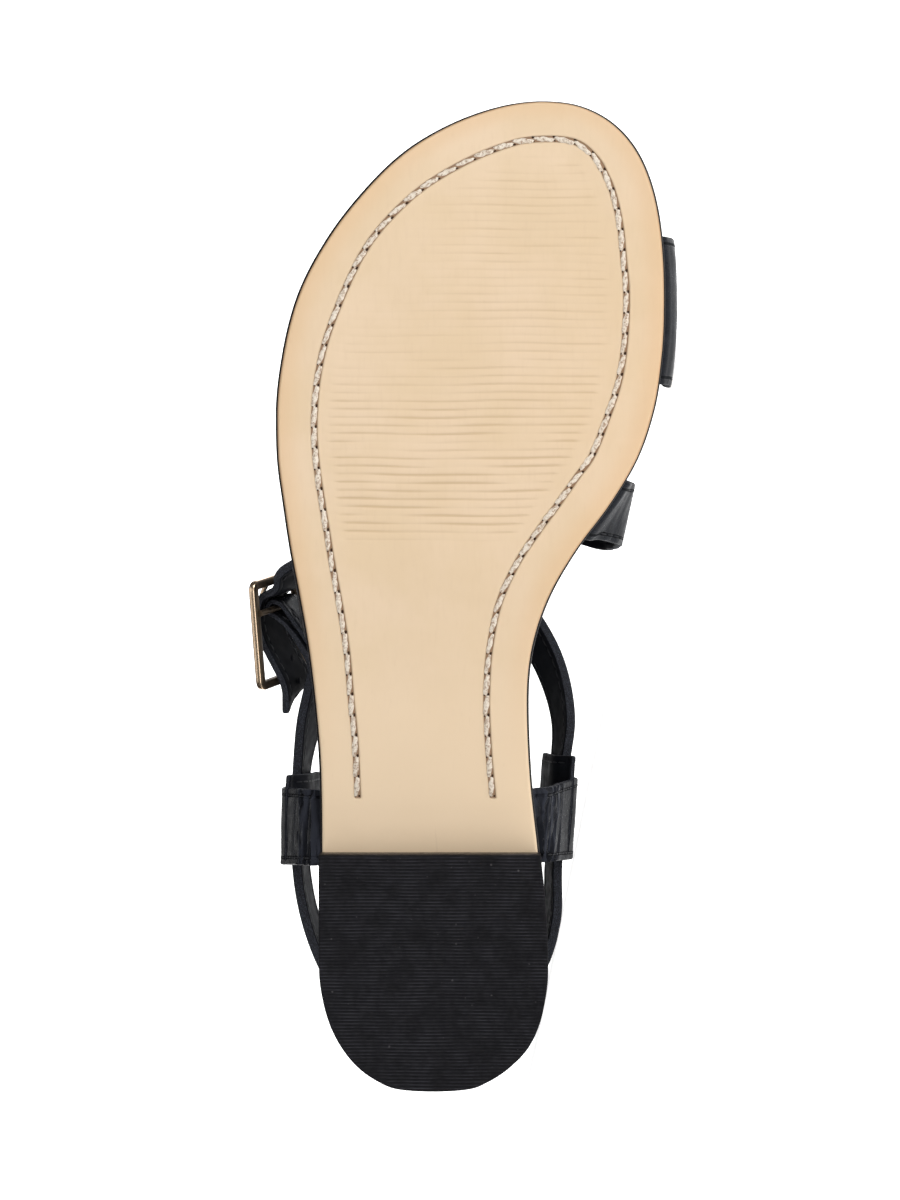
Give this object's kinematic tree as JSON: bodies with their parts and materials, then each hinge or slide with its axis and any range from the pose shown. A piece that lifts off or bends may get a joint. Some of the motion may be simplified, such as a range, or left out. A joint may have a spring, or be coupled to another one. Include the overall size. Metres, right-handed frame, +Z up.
{
  "type": "toe ring sandal",
  "caption": "Flat leather sandal for the right foot with a toe ring strap, crossed vamp straps, a buckled ankle strap in side loops and a low heel.",
  "frame": {"origin": "middle of the part's box at the floor, where the sandal lies on its inner side", "axes": "+X towards the toe, +Z up from the floor towards the outer side, -Y the way that the tread faces"},
  "size_m": [0.252, 0.0808, 0.0978],
  "materials": {
    "tan_leather": "smooth vegetable-tanned sole leather",
    "black_leather": "glazed black leather, lightly crinkled",
    "black_edge": "black edge paint, satin",
    "black_rubber": "matt ribbed heel rubber",
    "rose_gold": "polished rose gold plate"
  },
  "bodies": {
    "root": {"outsole": "tan_leather", "midsole": "black_edge", "insole": "black_leather", "heel_block": "black_edge", "top_lift": "black_rubber", "upper": "black_leather", "side_loop_medial": "black_leather", "side_loop_lateral": "black_leather", "ankle_strap": "black_leather", "buckle_frame": "rose_gold", "buckle_prong": "rose_gold"}
  },
  "joints": []
}
